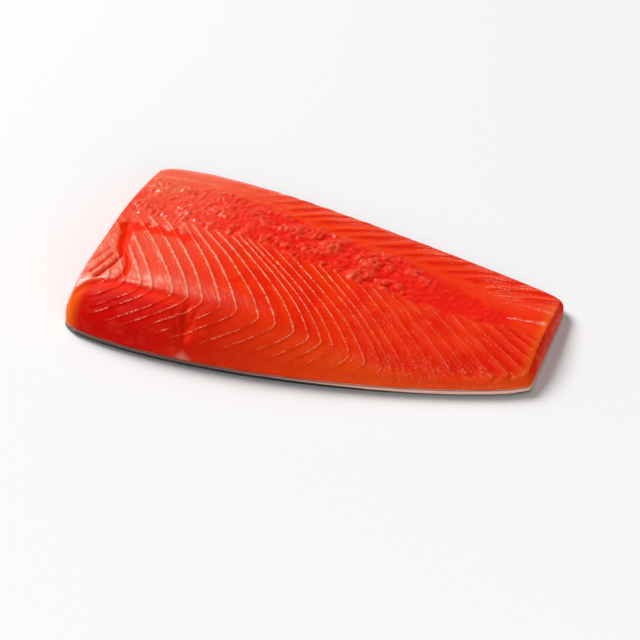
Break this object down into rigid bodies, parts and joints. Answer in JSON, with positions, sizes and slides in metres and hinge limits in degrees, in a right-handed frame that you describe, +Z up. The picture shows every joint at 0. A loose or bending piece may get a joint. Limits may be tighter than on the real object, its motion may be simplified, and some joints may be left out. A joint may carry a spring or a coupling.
{
  "type": "raw salmon fillet",
  "caption": "Raw salmon fillet, skin side down: wide at the head cut and tapered to the tail cut, with V-shaped muscle flakes, a scraped strip along the backbone line and the skin left on.",
  "frame": {"origin": "under the middle of the fillet's bounding box, on the surface that the skin lies on", "axes": "+X from the head cut to the tail cut, +Y from the thick back edge to the thin belly edge, +Z up, from the skin to the cut surface"},
  "size_m": [0.2112, 0.131, 0.0244],
  "materials": {
    "flesh": "wet, translucent orange-red flesh with thin white fat lines; rubber stands in for it",
    "skin": "wet grey skin, silver towards the belly, with a pale fat lining; leather stands in for it"
  },
  "bodies": {
    "root": {"flesh": "flesh", "skin": "skin"}
  },
  "joints": []
}
